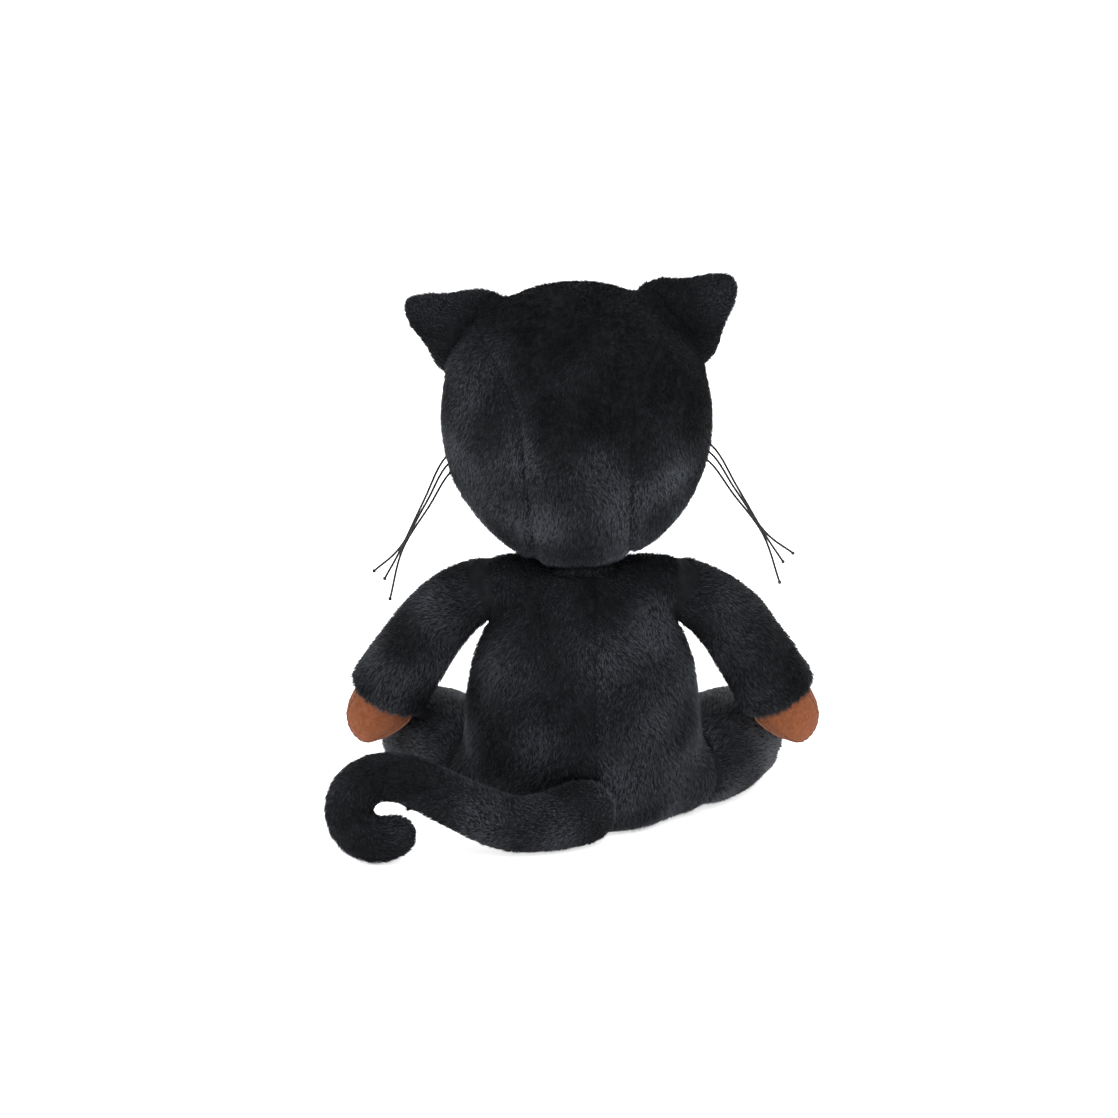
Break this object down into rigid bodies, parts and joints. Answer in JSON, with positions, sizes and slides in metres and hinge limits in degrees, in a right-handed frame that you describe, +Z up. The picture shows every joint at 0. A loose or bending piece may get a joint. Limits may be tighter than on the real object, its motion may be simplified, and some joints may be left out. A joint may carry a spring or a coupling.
{
  "type": "plush cat",
  "caption": "Seated plush cat of short dark pile with suede paws, corded whiskers, a curled tail, and a head, ears, arms, legs and tail that move at their seams.",
  "frame": {"origin": "the middle of the flat base panel that the cat sits on", "axes": "+Z up from the base through the head; the cat faces -Y and its own left side is +X"},
  "size_m": [0.2385, 0.1981, 0.2699],
  "materials": {
    "pile": "short black pile fabric, matt with a soft sheen along its nap",
    "suede": "brown suede, matt",
    "fibrefill": "loose white polyester fibre",
    "pouch": "plain woven bag filled with plastic pellets",
    "eye": "glossy dark plastic",
    "washer": "moulded white plastic",
    "cord": "black waxed cotton cord, slightly shiny"
  },
  "bodies": {
    "torso": {"torso_back_left": "pile", "torso_back_right": "pile", "torso_belly": "pile", "torso_base": "pile", "torso_stuffing": "fibrefill", "pellet_pouch": "pouch"},
    "neck": {"neck_plug": "pile"},
    "head": {"head_gusset": "pile", "head_face": "pile", "head_side_left": "pile", "head_side_right": "pile", "head_stuffing": "fibrefill", "muzzle": "pile", "nose": "suede", "eye_left": "eye", "eye_right": "eye", "eye_left_washer": "washer", "eye_right_washer": "washer", "whisker_left_1": "cord", "whisker_left_2": "cord", "whisker_left_3": "cord", "whisker_right_1": "cord", "whisker_right_2": "cord", "whisker_right_3": "cord"},
    "ear_l": {"ear_left": "pile", "ear_left_lining": "suede"},
    "ear_r": {"ear_right": "pile", "ear_right_lining": "suede"},
    "arm_l": {"arm_left": "pile", "arm_left_stuffing": "fibrefill", "cuff_left": "pile", "paw_left": "suede"},
    "arm_r": {"arm_right": "pile", "arm_right_stuffing": "fibrefill", "cuff_right": "pile", "paw_right": "suede"},
    "leg_l": {"leg_left": "pile", "leg_left_stuffing": "fibrefill", "foot_left": "suede"},
    "leg_r": {"leg_right": "pile", "leg_right_stuffing": "fibrefill", "foot_right": "suede"},
    "tail": {"tail": "pile", "tail_stuffing": "fibrefill"}
  },
  "joints": [
    {"name": "neck_nod", "type": "hinge", "parent": "torso", "child": "neck", "pos_m": [0, 0, 0.116], "axis": [1, 0, 0], "range_deg": [-12, 15]},
    {"name": "head_turn", "type": "hinge", "parent": "neck", "child": "head", "pos_m": [0, 0, 0.13], "axis": [0, 0, 1], "range_deg": [-60, 60]},
    {"name": "ear_fold_left", "type": "hinge", "parent": "head", "child": "ear_l", "pos_m": [0.05334, -0.004, 0.23978], "axis": [0.4617, 0, -0.887], "range_deg": [-15, 15]},
    {"name": "ear_fold_right", "type": "hinge", "parent": "head", "child": "ear_r", "pos_m": [-0.04357, -0.004, 0.24401], "axis": [0.6361, 0, 0.7716], "range_deg": [-15, 15]},
    {"name": "arm_swing_left", "type": "hinge", "parent": "torso", "child": "arm_l", "pos_m": [0.045, -0.002, 0.114], "axis": [-1, 0, 0], "range_deg": [-40, 60]},
    {"name": "arm_swing_right", "type": "hinge", "parent": "torso", "child": "arm_r", "pos_m": [-0.045, -0.002, 0.114], "axis": [-1, 0, 0], "range_deg": [-40, 60]},
    {"name": "leg_lift_left", "type": "hinge", "parent": "torso", "child": "leg_l", "pos_m": [0.0575, -0.025, 0.0246], "axis": [-1, 0, 0], "range_deg": [-15, 5]},
    {"name": "leg_lift_right", "type": "hinge", "parent": "torso", "child": "leg_r", "pos_m": [-0.0575, -0.025, 0.0246], "axis": [-1, 0, 0], "range_deg": [-15, 5]},
    {"name": "tail_swing", "type": "hinge", "parent": "torso", "child": "tail", "pos_m": [0, 0.0505, 0.0165], "axis": [0, 0, 1], "range_deg": [0, 90]}
  ]
}
